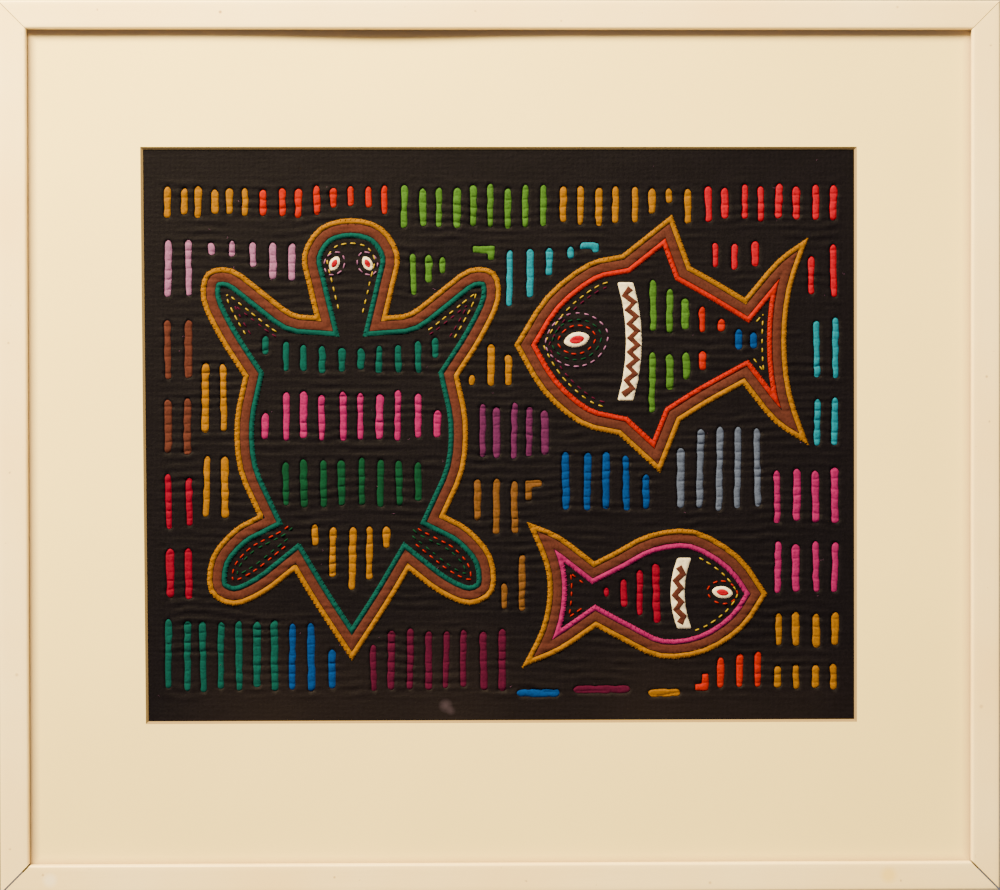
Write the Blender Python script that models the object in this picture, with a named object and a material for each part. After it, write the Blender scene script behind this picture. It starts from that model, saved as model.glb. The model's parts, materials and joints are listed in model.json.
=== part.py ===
"""A mola, a cut and sewn cotton panel, in a mat and a painted wooden frame that hangs on a wall.

The panel hangs upright and faces -Y, with +X to the right and +Z up. The origin is where it hangs:
the middle of the top rail's back, on the wall. Sizes are in millimetres and turn to metres in the meshes.
The design is given from the middle of the mat's window: x to the right, z up.
"""

import math
import random

import bmesh
import bpy
import numpy as np

MM = 0.001
GAP = 0.3

# Frame: four rails of one moulding, rebated behind a lip, mitred at the corners.
FRAME_WIDTH = 575.0
FRAME_HEIGHT = 512.0
FRAME_DEPTH = 19.0
RAIL_FACE = 16.4
LIP_DEPTH = 5.0
REBATE = 6.0
ARRIS = 1.0
TOP_MITRE_GAP = 0.3
BOTTOM_MITRE_GAP = 0.7
REBATE_PLAY = 1.2
FRAME_TOP = (RAIL_FACE - REBATE) / 2

# Mat: one board with a window, cut at 45 degrees, set high so that the lower margin is the widest.
# The window was cut by hand, and its left edge leans out at the top by as much as it leans in at the foot.
WINDOW_WIDTH = 408.4
WINDOW_HEIGHT = 329.0
WINDOW_LEAN = 1.1
MAT_TOP_MARGIN = 68.4
MAT_THICKNESS = 1.4
BEVEL = 1.4

# Cloth: the black top layer, the strips sewn on it, and the colours laid behind its slots.
CLOTH_MARGIN = 16.0
CLOTH_THICKNESS = 1.2
STRIP_THICKNESS = 1.0
PATCH_THICKNESS = 1.0
PATCH_MARGIN = 2.2
GOLD_BAND = 2.9
BROWN_BAND = 4.8
LINE_BAND = 2.8
SEAM = 0.3
CLEARANCE = 3.0
SHORTEST_SLOT = 7.0
SLOT_WIDTHS = (3.6, 4.6)
SLOT_TILT = 1.2
SLOT_SEED = 4

BACKING_THICKNESS = 3.0

MAT_FRONT = -FRAME_DEPTH + LIP_DEPTH + GAP
CLOTH_FRONT = MAT_FRONT + MAT_THICKNESS + GAP
STRIP_FRONT = CLOTH_FRONT - GAP - STRIP_THICKNESS
PATCH_FRONT = CLOTH_FRONT + CLOTH_THICKNESS + GAP
BACKING_FRONT = PATCH_FRONT + PATCH_THICKNESS + GAP

SIGHT_WIDTH = FRAME_WIDTH - 2 * RAIL_FACE
SIGHT_HEIGHT = FRAME_HEIGHT - 2 * RAIL_FACE
BOARD_WIDTH = SIGHT_WIDTH + 2 * (REBATE - REBATE_PLAY)
BOARD_HEIGHT = SIGHT_HEIGHT + 2 * (REBATE - REBATE_PLAY)
FRAME_CENTRE = FRAME_TOP - FRAME_HEIGHT / 2
WINDOW_CENTRE = FRAME_TOP - RAIL_FACE - MAT_TOP_MARGIN - WINDOW_HEIGHT / 2

# name: colour (linear red, green, blue), roughness
FINISHES = {
    "paint": ((0.88, 0.77, 0.63), 0.45),
    "mat": ((0.85, 0.73, 0.57), 0.9),
    "hardboard": ((0.25, 0.14, 0.07), 0.8),
    "black": ((0.018, 0.014, 0.012), 0.9),
    "white": ((0.75, 0.66, 0.53), 0.85),
    "gold": ((0.62, 0.27, 0.012), 0.85),
    "brown": ((0.19, 0.065, 0.035), 0.85),
    "teal": ((0.006, 0.20, 0.12), 0.85),
    "green": ((0.008, 0.10, 0.02), 0.85),
    "lime": ((0.19, 0.34, 0.045), 0.85),
    "orange": ((0.82, 0.09, 0.025), 0.85),
    "red": ((0.70, 0.025, 0.025), 0.85),
    "crimson": ((0.60, 0.01, 0.025), 0.85),
    "pink": ((0.62, 0.085, 0.22), 0.85),
    "lilac": ((0.52, 0.28, 0.34), 0.85),
    "purple": ((0.22, 0.03, 0.17), 0.85),
    "wine": ((0.16, 0.008, 0.05), 0.85),
    "blue": ((0.006, 0.14, 0.42), 0.85),
    "cyan": ((0.09, 0.42, 0.43), 0.85),
    "grey": ((0.19, 0.26, 0.36), 0.85),
    "ochre": ((0.38, 0.14, 0.015), 0.85),
}


def mirrored(half):
    """A loop from its right half, whose first and last points lie on the middle line."""
    left = [(-x, z, kind) for x, z, kind in reversed(half[1:-1])]
    return half + left


# Each outline is a loop of points: x, z and how the line passes through the point.
TURTLE_MIDDLE = -86.0
TURTLE = mirrored(
    [
        (0, 125, "round"),
        (18, 120, "round"),
        (28, 104, "round"),
        (25, 86, "round"),
        (21, 69, "corner"),
        (34, 71, "round"),
        (50, 83, "round"),
        (68, 96, "round"),
        (83, 94, "round"),
        (86, 78, "round"),
        (76, 56, "round"),
        (62, 34, "corner"),
        (67, 8, "round"),
        (65, -20, "round"),
        (54, -46, "corner"),
        (68, -54, "round"),
        (81, -70, "round"),
        (82, -90, "round"),
        (68, -98, "round"),
        (50, -91, "round"),
        (33, -78, "corner"),
        (21, -98, "round"),
        (0, -130, "corner"),
    ]
)
BIG_FISH = [
    (8, 52, "corner"),
    (26, 80, "round"),
    (50, 99, "round"),
    (70, 104, "corner"),
    (99, 127, "corner"),
    (110, 97, "corner"),
    (126, 88, "round"),
    (141, 79, "corner"),
    (160, 101, "round"),
    (178, 114, "corner"),
    (168, 84, "round"),
    (165, 54, "round"),
    (168, 24, "round"),
    (178, -6, "corner"),
    (158, 7, "round"),
    (140, 29, "corner"),
    (120, 18, "round"),
    (104, 8, "corner"),
    (92, -22, "corner"),
    (68, 0, "corner"),
    (46, 6, "round"),
    (24, 25, "round"),
]
SMALL_FISH = [
    (154, -92, "corner"),
    (138, -70, "round"),
    (112, -55, "round"),
    (86, -57, "round"),
    (66, -67, "round"),
    (54, -73, "corner"),
    (34, -58, "round"),
    (15, -50, "corner"),
    (25, -74, "round"),
    (27, -92, "round"),
    (23, -112, "round"),
    (12, -134, "corner"),
    (34, -125, "round"),
    (55, -111, "corner"),
    (70, -119, "round"),
    (92, -129, "round"),
    (118, -126, "round"),
    (140, -112, "round"),
]
STEPS = 3

# Rows of upright slots, each over the patch of that name. A slot takes the longest clear run of its column.
# patch, colour, place, x of the first, x of the last, how many, z of the tops, z of the feet
SLOT_ROWS = [
    ("top_a", "gold", "ground", -191, -147, 6, 145, 123),
    ("top_b", "orange", "ground", -136, -66, 8, 145, 122),
    ("top_c", "lime", "ground", -55, 25, 9, 146, 116),
    ("top_d", "gold", "ground", 36, 108, 8, 145, 118),
    ("top_e", "red", "ground", 120, 192, 8, 146, 120),
    ("back", "red", "ground", 124, 158, 4, 113, 92),
    ("right_a", "red", "ground", 180, 192, 2, 113, 77),
    ("right_b", "cyan", "ground", 183, 193, 2, 69, 30),
    ("right_b", "cyan", "ground", 183, 193, 2, 24, -10),
    ("right_c", "pink", "ground", 160, 193, 4, -17, -54),
    ("right_c", "pink", "ground", 160, 193, 4, -60, -94),
    ("right_d", "gold", "ground", 160, 193, 4, -100, -126),
    ("right_d", "gold", "ground", 160, 193, 4, -131, -151),
    ("left_a", "lilac", "ground", -191, -180, 2, 116, 76),
    ("left_b", "brown", "ground", -191, -180, 2, 68, 30),
    ("left_b", "brown", "ground", -191, -180, 2, 24, -14),
    ("left_c", "crimson", "ground", -191, -180, 2, -21, -56),
    ("left_c", "crimson", "ground", -191, -180, 2, -62, -97),
    ("left_d", "teal", "ground", -191, -131, 7, -104, -150),
    ("shoulder", "lilac", "ground", -166, -120, 5, 114, 86),
    ("flank", "gold", "ground", -170, -159, 2, 44, -2),
    ("flank", "gold", "ground", -170, -159, 2, -9, -50),
    ("neck", "lime", "ground", -50, -25, 4, 106, 78),
    ("nose", "cyan", "ground", 6, 40, 4, 110, 70),
    ("between_a", "gold", "ground", -16, 4, 3, 66, 26),
    ("between_b", "purple", "ground", -11, 26, 5, 20, -16),
    ("between_c", "ochre", "ground", -14, 8, 3, -24, -60),
    ("between_d", "ochre", "ground", -8, 12, 3, -66, -104),
    ("belly", "blue", "ground", 38, 84, 5, -8, -46),
    ("fin", "grey", "ground", 104, 148, 5, 6, -46),
    ("foot_a", "blue", "ground", -120, -98, 3, -106, -150),
    ("foot_b", "wine", "ground", -74, 0, 8, -110, -150),
    ("foot_c", "orange", "ground", 127, 149, 3, -124, -150),
    ("shell_a", "teal", "turtle", -135, -37, 10, 60, 33),
    ("shell_b", "pink", "turtle", -135, -37, 10, 27, -6),
    ("shell_c", "green", "turtle", -135, -37, 10, -12, -44),
    ("shell_d", "gold", "turtle", -117, -55, 7, -50, -92),
    ("side_a", "lime", "big_fish", 88, 107, 3, 92, 56),
    ("side_a", "lime", "big_fish", 88, 107, 3, 50, 10),
    ("side_b", "orange", "big_fish", 117, 127, 2, 92, 56),
    ("side_b", "orange", "big_fish", 117, 127, 2, 50, 10),
    ("side_c", "blue", "big_fish", 137, 155, 3, 84, 24),
    ("side_d", "crimson", "small_fish", 61, 90, 4, -64, -120),
]

# Slots that lie along the foot of the cloth: patch, colour, x of the middle, z, length
FLAT_SLOTS = [
    ("foot_d", "blue", 22, -149, 28),
    ("foot_e", "wine", 59, -147, 36),
    ("foot_f", "gold", 95, -149, 22),
]

# Hooked slots that fill a corner: patch, colour, x and z of the corner, arm along x, arm along z
HOOKS = [
    ("neck", "lime", -3, 109, -13, -8),
    ("between_c", "ochre", 14, -26, 10, -12),
    ("foot_c", "orange", 120, -148, -8, 10),
    ("nose", "cyan", 57, 111, -11, -6),
]

# White strips behind the fishes' eyes: place, x of the middle, z of the top, z of the foot, bow, width
GILLS = [
    ("big_fish", 72, 88, 20, 5, 9),
    ("small_fish", 106, -71, -112, -4, 8),
]
GILL_STEPS = 6

# Eyes: place, x and z of the middle, long and short half axes, turn in degrees
EYES = [
    ("big_fish", 44, 55, 7.5, 4.2, 12),
    ("small_fish", 128, -91, 6.0, 3.4, -10),
]
EYE_POINTS = 16


def signed_area(loop):
    x, z = loop.T
    return 0.5 * np.sum(x * np.roll(z, -1) - z * np.roll(x, -1))


def smooth_loop(rows, steps):
    """An anticlockwise loop that runs smoothly through the round points and breaks at the corners."""
    points = np.array([row[:2] for row in rows], float)
    sharp = [row[2] == "corner" for row in rows]
    share = np.linspace(0, 1, steps, endpoint=False)[:, None]
    runs = []
    for i, start in enumerate(points):
        j = (i + 1) % len(points)
        end = points[j]
        before = 2 * start - end if sharp[i] else points[i - 1]
        after = 2 * end - start if sharp[j] else points[(j + 1) % len(points)]
        slope = (end - before) * share
        bend = (2 * before - 5 * start + 4 * end - after) * share**2
        twist = (3 * start - before - 3 * end + after) * share**3
        runs.append(start + (slope + bend + twist) / 2)
    loop = np.concatenate(runs)
    return loop if signed_area(loop) > 0 else loop[::-1]


def depth_inside(points, loop):
    """How far each point lies inside the loop; a point outside gets a negative depth."""
    nearest = np.full(len(points), np.inf)
    inside = np.zeros(len(points), bool)
    for start, end in zip(loop, np.roll(loop, -1, axis=0)):
        run = end - start
        share = np.clip((points - start) @ run / (run @ run), 0, 1)
        away = points - start - share[:, None] * run
        nearest = np.minimum(nearest, np.hypot(*away.T))
        if start[1] != end[1]:
            level = (start[1] > points[:, 1]) != (end[1] > points[:, 1])
            crossing = start[0] + (points[:, 1] - start[1]) * run[0] / run[1]
            inside ^= level & (points[:, 0] < crossing)
    return np.where(inside, nearest, -nearest)


def inset(loop, distance):
    """The loop moved inwards with mitred corners. Where it would fold over itself, its sides meet instead."""
    slack = 0.05
    nearly_parallel = 0.1
    ahead = np.roll(loop, -1, axis=0) - loop
    ahead /= np.linalg.norm(ahead, axis=1)[:, None]
    behind = np.roll(ahead, 1, axis=0)
    inward = np.stack([-ahead[:, 1], ahead[:, 0]], axis=1)
    bisector = inward + np.roll(inward, 1, axis=0)
    bisector /= (bisector * inward).sum(axis=1)[:, None]
    moved = loop + distance * bisector
    kept = np.flatnonzero(depth_inside(moved, loop) > distance - slack)
    points = []
    for i, j in zip(kept, np.roll(kept, -1)):
        points.append(moved[i])
        along = ahead[i]
        back = behind[j]
        across = along[0] * back[1] - along[1] * back[0]
        if (j - i) % len(loop) > 1 and abs(across) > nearly_parallel:
            gap = moved[j] - moved[i]
            points.append(moved[i] + along * (gap[0] * back[1] - gap[1] * back[0]) / across)
    points = np.array(points)
    return points[depth_inside(points, loop) > distance - slack]


def slot_loop(x, top, foot, width, tilt):
    """A slot cut round at its top and to a point at its foot."""
    half = (top - foot) / 2
    shape = [
        (-0.3 * width, half),
        (0.3 * width, half),
        (0.5 * width, half - 0.6 * width),
        (0.46 * width, -half + 0.7 * width),
        (0, -half),
        (-0.46 * width, -half + 0.7 * width),
        (-0.5 * width, half - 0.6 * width),
    ]
    cosine = math.cos(math.radians(tilt))
    sine = math.sin(math.radians(tilt))
    middle = (top + foot) / 2
    return np.array([(x + u * cosine - v * sine, middle + u * sine + v * cosine) for u, v in shape])


def hook_loop(x, z, along, up):
    """A bent slot whose two arms, with signed lengths, meet in a corner."""
    width = 4.0
    wide = math.copysign(width, along)
    high = math.copysign(width, up)
    return np.array([(x, z), (x + along, z), (x + along, z + high), (x + wide, z + high), (x + wide, z + up), (x, z + up)])


def clear_run(x, width, top, foot, place, outlines, inner_edges):
    """The longest stretch of a column that stays clear of the sewn bands, as its foot and top, or None."""
    z = np.arange(foot, top, 0.5)
    column = np.stack([np.full_like(z, x), z], axis=1)
    room = CLEARANCE + width / 2
    if place == "ground":
        clear = np.all([depth_inside(column, loop) < -room for loop in outlines.values()], axis=0)
    else:
        clear = depth_inside(column, inner_edges[place]) > room
    runs = []
    start = None
    for i, is_clear in enumerate([*clear, False]):
        if is_clear and start is None:
            start = i
        if not is_clear and start is not None:
            runs.append((z[start], z[i - 1]))
            start = None
    runs = [run for run in runs if run[1] - run[0] > SHORTEST_SLOT]
    return max(runs, key=lambda run: run[1] - run[0], default=None)


def all_slots(outlines, inner_edges):
    """Every slot of the cloth: the patch behind it, its colour and its loop."""
    by_hand = random.Random(SLOT_SEED)
    slots = []
    for patch, colour, place, first, last, count, top, foot in SLOT_ROWS:
        for x in np.linspace(first, last, count):
            width = by_hand.uniform(*SLOT_WIDTHS)
            x += by_hand.uniform(-0.7, 0.7)
            top_here = top - by_hand.uniform(0, 2.5)
            foot_here = foot + by_hand.uniform(0, 2.5)
            tilt = by_hand.uniform(-SLOT_TILT, SLOT_TILT)
            run = clear_run(x, width, top_here, foot_here, place, outlines, inner_edges)
            if run:
                slots.append((patch, colour, slot_loop(x, run[1], run[0], width, tilt)))
    for patch, colour, x, z, length in FLAT_SLOTS:
        lying = slot_loop(0, length / 2, -length / 2, SLOT_WIDTHS[1], 90)
        slots.append((patch, colour, lying + (x, z)))
    for patch, colour, x, z, along, up in HOOKS:
        slots.append((patch, colour, hook_loop(x, z, along, up)))
    return slots


def gill_loop(x, top, foot, bow, width):
    """A strip of even width that bows to one side between its top and its foot."""
    share = np.linspace(-1, 1, GILL_STEPS + 1)
    z = (top + foot) / 2 + share * (top - foot) / 2
    middle = x + bow * (1 - share**2)
    right = np.stack([middle + width / 2, z], axis=1)
    left = np.stack([middle - width / 2, z], axis=1)
    return np.concatenate([right, left[::-1]])


def eye_loop(x, z, long_half, short_half, turn):
    angle = np.linspace(0, 2 * math.pi, EYE_POINTS, endpoint=False)
    u = long_half * np.cos(angle)
    v = short_half * np.sin(angle)
    cosine = math.cos(math.radians(turn))
    sine = math.sin(math.radians(turn))
    return np.stack([x + u * cosine - v * sine, z + u * sine + v * cosine], axis=1)


def box_loop(left, right, low, high):
    return np.array([(left, low), (right, low), (right, high), (left, high)])


def finish_material(finish):
    """The material of that name, made the first time it is asked for."""
    material = bpy.data.materials.get(finish)
    if material is None:
        colour, roughness = FINISHES[finish]
        material = bpy.data.materials.new(finish)
        material.use_nodes = True
        shader = material.node_tree.nodes["Principled BSDF"]
        shader.inputs["Base Color"].default_value = (*colour, 1)
        shader.inputs["Roughness"].default_value = roughness
        shader.inputs["Metallic"].default_value = 0
        material.diffuse_color = (*colour, 1)
    return material


def add_object(name, data, finish, hanger, location=(0, 0, 0), turn=(0, 0, 0)):
    """Places a piece, in millimetres and degrees, and parents it to the hanging point."""
    piece = bpy.data.objects.new(name, data)
    data.materials.append(finish_material(finish))
    bpy.context.scene.collection.objects.link(piece)
    piece.location = [value * MM for value in location]
    piece.rotation_euler = [math.radians(angle) for angle in turn]
    piece.parent = hanger
    return piece


def eased_corner(u, y, towards_u, towards_y):
    """The worn edge of the moulding's face: three points of a quarter round."""
    points = []
    for angle in (0, 45, 90):
        across = ARRIS * (1 - math.sin(math.radians(angle)))
        down = ARRIS * (1 - math.cos(math.radians(angle)))
        points.append((u + towards_u * across, y + towards_y * down))
    return points


def rail_profile():
    """The moulding's section: u from the outer edge inwards, y from the wall towards the viewer."""
    front = -FRAME_DEPTH
    lip_back = front + LIP_DEPTH
    outer = eased_corner(0, front, 1, 1)[::-1]
    inner = eased_corner(RAIL_FACE, front, -1, 1)
    rebate = RAIL_FACE - REBATE
    return [(0, 0), *outer, *inner, (RAIL_FACE, lip_back), (rebate, lip_back), (rebate, 0)]


def add_rail(name, length, turn, location, gaps, hanger):
    """One rail: its outer edge on its own x axis, its ends mitred, with half a gap at the -x and +x ends."""
    mesh = bmesh.new()
    profile = rail_profile()
    ends = []
    for side, gap in zip((-1, 1), gaps):
        reach = length / 2 - gap / 2 * math.sqrt(2)
        ends.append([mesh.verts.new((side * (reach - u) * MM, y * MM, -u * MM)) for u, y in profile])
    for end in ends:
        mesh.faces.new(end)
    for i in range(len(profile)):
        j = (i + 1) % len(profile)
        mesh.faces.new((ends[0][i], ends[0][j], ends[1][j], ends[1][i]))
    bmesh.ops.recalc_face_normals(mesh, faces=mesh.faces)
    data = bpy.data.meshes.new(name)
    mesh.to_mesh(data)
    mesh.free()
    return add_object(name, data, "paint", hanger, location, (0, turn, 0))


def add_frame(hanger):
    foot = FRAME_TOP - FRAME_HEIGHT
    side = FRAME_WIDTH / 2
    top_gaps = (TOP_MITRE_GAP, TOP_MITRE_GAP)
    foot_gaps = (BOTTOM_MITRE_GAP, BOTTOM_MITRE_GAP)
    add_rail("rail_top", FRAME_WIDTH, 0, (0, 0, FRAME_TOP), top_gaps, hanger)
    add_rail("rail_bottom", FRAME_WIDTH, 180, (0, 0, foot), foot_gaps, hanger)
    left_gaps = (BOTTOM_MITRE_GAP, TOP_MITRE_GAP)
    right_gaps = (TOP_MITRE_GAP, BOTTOM_MITRE_GAP)
    add_rail("rail_left", FRAME_HEIGHT, -90, (-side, 0, FRAME_CENTRE), left_gaps, hanger)
    add_rail("rail_right", FRAME_HEIGHT, 90, (side, 0, FRAME_CENTRE), right_gaps, hanger)


def add_cut_piece(name, loops, front, thickness, finish, hanger, centre=WINDOW_CENTRE):
    """A flat piece cut to the first loop, less the others, that stands upright with its face at front."""
    curve = bpy.data.curves.new(name, "CURVE")
    curve.dimensions = "2D"
    curve.fill_mode = "BOTH"
    curve.extrude = thickness / 2 * MM
    for loop in loops:
        spline = curve.splines.new("POLY")
        spline.points.add(len(loop) - 1)
        for point, (x, z) in zip(spline.points, loop):
            point.co = (x * MM, z * MM, 0, 1)
        spline.use_cyclic_u = True
    return add_object(name, curve, finish, hanger, (0, front + thickness / 2, centre), (90, 0, 0))


def add_mat(hanger):
    """The mat board, flat, with its bevelled window. It is lofted from its front edges round to its back ones."""
    board_centre = FRAME_CENTRE - WINDOW_CENTRE
    outer = box_loop(-BOARD_WIDTH / 2, BOARD_WIDTH / 2, board_centre - BOARD_HEIGHT / 2, board_centre + BOARD_HEIGHT / 2)
    window = box_loop(-WINDOW_WIDTH / 2, WINDOW_WIDTH / 2, -WINDOW_HEIGHT / 2, WINDOW_HEIGHT / 2)
    foot_left, top_left = 0, 3
    window[foot_left, 0] += WINDOW_LEAN
    window[top_left, 0] -= WINDOW_LEAN
    opened = window + np.sign(window) * BEVEL
    back = MAT_FRONT + MAT_THICKNESS
    mesh = bmesh.new()
    rings = []
    for loop, y in ((outer, MAT_FRONT), (opened, MAT_FRONT), (window, back), (outer, back)):
        rings.append([mesh.verts.new((x * MM, y * MM, z * MM)) for x, z in loop])
    for ring, following in zip(rings, rings[1:] + rings[:1]):
        for i in range(len(ring)):
            j = (i + 1) % len(ring)
            mesh.faces.new((ring[i], ring[j], following[j], following[i]))
    bmesh.ops.recalc_face_normals(mesh, faces=mesh.faces)
    data = bpy.data.meshes.new("mat_board")
    mesh.to_mesh(data)
    mesh.free()
    return add_object("mat_board", data, "mat", hanger, (0, 0, WINDOW_CENTRE))


def add_bands(outlines, hanger):
    """Round each figure, from outside in: a narrow gold strip, a wide brown one and a narrow bright line."""
    lines = {"turtle": "teal", "big_fish": "orange", "small_fish": "pink"}
    for figure, outline in outlines.items():
        depth = 0
        for finish, width in (("gold", GOLD_BAND), ("brown", BROWN_BAND), (lines[figure], LINE_BAND)):
            outer = inset(outline, depth)
            inner = inset(outline, depth + width)
            depth += width + SEAM
            name = f"{figure}_{finish}_band"
            add_cut_piece(name, [outer, inner], STRIP_FRONT, STRIP_THICKNESS, finish, hanger)


def add_patches(slots, hanger):
    """Behind each group of slots, one plain piece of coloured cotton that fills them all."""
    groups = {}
    for patch, colour, loop in slots:
        groups.setdefault((patch, colour), []).append(loop)
    for (patch, colour), loops in groups.items():
        points = np.concatenate(loops)
        low = points.min(axis=0) - PATCH_MARGIN
        high = points.max(axis=0) + PATCH_MARGIN
        outline = box_loop(low[0], high[0], low[1], high[1])
        add_cut_piece(f"patch_{patch}", [outline], PATCH_FRONT, PATCH_THICKNESS, colour, hanger)


def main():
    for old in list(bpy.data.objects):
        bpy.data.objects.remove(old)
    hanger = bpy.data.objects.new("hanging_point", None)
    bpy.context.scene.collection.objects.link(hanger)
    outlines = {
        "turtle": smooth_loop(TURTLE, STEPS) + (TURTLE_MIDDLE, 0),
        "big_fish": smooth_loop(BIG_FISH, STEPS),
        "small_fish": smooth_loop(SMALL_FISH, STEPS),
    }
    all_bands = GOLD_BAND + BROWN_BAND + LINE_BAND + 2 * SEAM
    inner_edges = {figure: inset(outline, all_bands) for figure, outline in outlines.items()}
    slots = all_slots(outlines, inner_edges)

    add_frame(hanger)
    add_mat(hanger)
    width = WINDOW_WIDTH + 2 * CLOTH_MARGIN
    height = WINDOW_HEIGHT + 2 * CLOTH_MARGIN
    cloth = box_loop(-width / 2, width / 2, -height / 2, height / 2)
    slot_loops = [loop for _, _, loop in slots]
    add_cut_piece("mola_cloth", [cloth, *slot_loops], CLOTH_FRONT, CLOTH_THICKNESS, "black", hanger)
    add_bands(outlines, hanger)
    add_patches(slots, hanger)
    for figure, *gill in GILLS:
        add_cut_piece(f"{figure}_gill", [gill_loop(*gill)], STRIP_FRONT, STRIP_THICKNESS, "white", hanger)
    for figure, *eye in EYES:
        add_cut_piece(f"{figure}_eye", [eye_loop(*eye)], STRIP_FRONT, STRIP_THICKNESS, "white", hanger)
    board = box_loop(-BOARD_WIDTH / 2, BOARD_WIDTH / 2, -BOARD_HEIGHT / 2, BOARD_HEIGHT / 2)
    add_cut_piece("backing_board", [board], BACKING_FRONT, BACKING_THICKNESS, "hardboard", hanger, FRAME_CENTRE)


main()
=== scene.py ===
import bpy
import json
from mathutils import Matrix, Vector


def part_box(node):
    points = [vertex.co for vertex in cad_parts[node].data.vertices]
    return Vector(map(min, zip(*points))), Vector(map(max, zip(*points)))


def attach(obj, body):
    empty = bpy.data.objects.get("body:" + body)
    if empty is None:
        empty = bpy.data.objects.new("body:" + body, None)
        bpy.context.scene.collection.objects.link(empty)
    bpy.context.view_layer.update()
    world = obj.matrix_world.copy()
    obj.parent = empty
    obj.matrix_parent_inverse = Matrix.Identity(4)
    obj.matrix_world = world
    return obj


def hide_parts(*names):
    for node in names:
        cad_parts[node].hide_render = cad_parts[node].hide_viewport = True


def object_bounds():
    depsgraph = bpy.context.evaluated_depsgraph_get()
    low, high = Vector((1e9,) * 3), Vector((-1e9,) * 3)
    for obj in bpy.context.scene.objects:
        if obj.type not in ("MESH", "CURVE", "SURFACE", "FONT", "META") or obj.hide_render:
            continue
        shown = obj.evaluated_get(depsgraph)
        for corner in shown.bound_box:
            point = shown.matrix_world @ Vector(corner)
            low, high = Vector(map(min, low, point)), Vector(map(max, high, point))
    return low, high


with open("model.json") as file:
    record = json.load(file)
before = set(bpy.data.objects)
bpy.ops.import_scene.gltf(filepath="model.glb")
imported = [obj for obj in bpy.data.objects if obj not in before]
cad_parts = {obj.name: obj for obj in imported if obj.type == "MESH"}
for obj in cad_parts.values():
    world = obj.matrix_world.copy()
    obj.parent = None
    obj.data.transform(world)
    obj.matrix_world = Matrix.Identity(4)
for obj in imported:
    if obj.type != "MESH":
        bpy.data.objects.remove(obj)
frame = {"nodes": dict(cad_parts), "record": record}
cad_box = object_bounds()
print("solids:", len(frame["nodes"]))

# %% Modules and units
import json
import math

import bpy
import numpy as np
from mathutils import Vector
from mathutils.geometry import delaunay_2d_cdt
from mathutils.kdtree import KDTree

MM = 0.001


def in_scene(name, data):
    """A new object with that data, in the scene."""
    made = bpy.data.objects.new(name, data)
    bpy.context.scene.collection.objects.link(made)
    return made


print("lengths are worked out in mm, and a metre has", round(1 / MM))

# %% [markdown]
# ## The camera
# The picture was taken square on, a little left of the middle, with a slightly tilted camera.
# Its place was worked out from the frame's eight corners, which meet the photo's to about a
# pixel. An 85 mm lens keeps the rails' inner faces as narrow as they show.
# %% Camera
camera = in_scene("camera", bpy.data.cameras.new("camera"))
camera.data.sensor_width = 36
camera.data.lens = 85
camera.data.clip_end = 20
camera.location = (-0.0183, -1.3733, -0.2348)
camera.rotation_euler = [math.radians(angle) for angle in (90 - 0.628, 0.098, -0.755)]
bpy.context.scene.camera = camera
print("camera", round(-camera.location.y, 2), "m in front")

# %% [markdown]
# ## Light
# The photo's light is warm and comes from one window-sized lamp high on the left. The lip throws
# a dark line about 5 mm wide on the mat below the top rail and a faint one about 2 mm wide
# beside the left rail. With the lip standing 5.3 mm above the mat, those widths give the lamp's
# direction, and the faint one's soft edge shows that the window is wider than it is high.
# The lower right of the mat shows about a fifth darker than the upper left, and that gives its
# distance. A weak surround fills the shadows, and a dim lamp behind shows the back.
# %% Lamps and surround
LAMPS = [
    # name, place (m), turned towards (m), width and height (m), power (W), spread (degrees)
    ("window", (-0.62, -0.88, 0.86), (0, 0, -0.25), 0.95, 0.42, 69, 110),
    ("behind", (0.6, 2.0, 1.2), (0, 0, -0.25), 1.5, 1.5, 26, 160),
]
WARM = (1, 0.78, 0.38)
SKY = (0.72, 0.75, 1, 1)  # the cool light of the room, which is all that the lip's shadow gets
SKY_STRENGTH = 0.26
for name, place, aim, width, height, power, spread in LAMPS:
    lamp = in_scene(name, bpy.data.lights.new(name, "AREA"))
    lamp.data.shape = "RECTANGLE"
    lamp.data.size = width
    lamp.data.size_y = height
    lamp.data.energy = power
    lamp.data.spread = math.radians(spread)
    lamp.data.color = WARM
    lamp.location = place
    lamp.rotation_euler = (Vector(aim) - Vector(place)).to_track_quat("-Z", "Y").to_euler()
world = bpy.data.worlds.new("surround")
world.use_nodes = True
world.node_tree.nodes["Background"].inputs["Color"].default_value = SKY
world.node_tree.nodes["Background"].inputs["Strength"].default_value = SKY_STRENGTH
bpy.context.scene.world = world
print("lamps:", [lamp[0] for lamp in LAMPS])


# %% [markdown]
# ## Colours and nodes
# Colours are written in hex, as on a screen, and turned to the linear values that the renderer
# wants. One small function adds a node with its settings and links.
# %% Colour and node helpers
def linear(hex_colour, share=1.0):
    """A hex colour in the linear values that the renderer wants, darkened to that share of itself."""
    channels = [int(hex_colour[i : i + 2], 16) / 255 for i in (1, 3, 5)]
    straight = [c / 12.92 if c <= 0.04045 else ((c + 0.055) / 1.055) ** 2.4 for c in channels]
    return (*(share * c for c in straight), 1.0)


def node(tree, kind, inputs=None, **settings):
    """Adds a node with its settings. Each of its inputs gets a link from another node or a plain value."""
    made = tree.nodes.new(kind)
    for key, value in settings.items():
        setattr(made, key, value)
    for socket, source in (inputs or {}).items():
        if isinstance(source, bpy.types.NodeSocket):
            tree.links.new(source, made.inputs[socket])
        else:
            made.inputs[socket].default_value = source
    return made


FIRST, SECOND, MIXED = 6, 7, 2  # the Mix node's two colour inputs and its colour output
print("mid grey is", round(linear("#808080")[0], 3), "in linear light")

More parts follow.
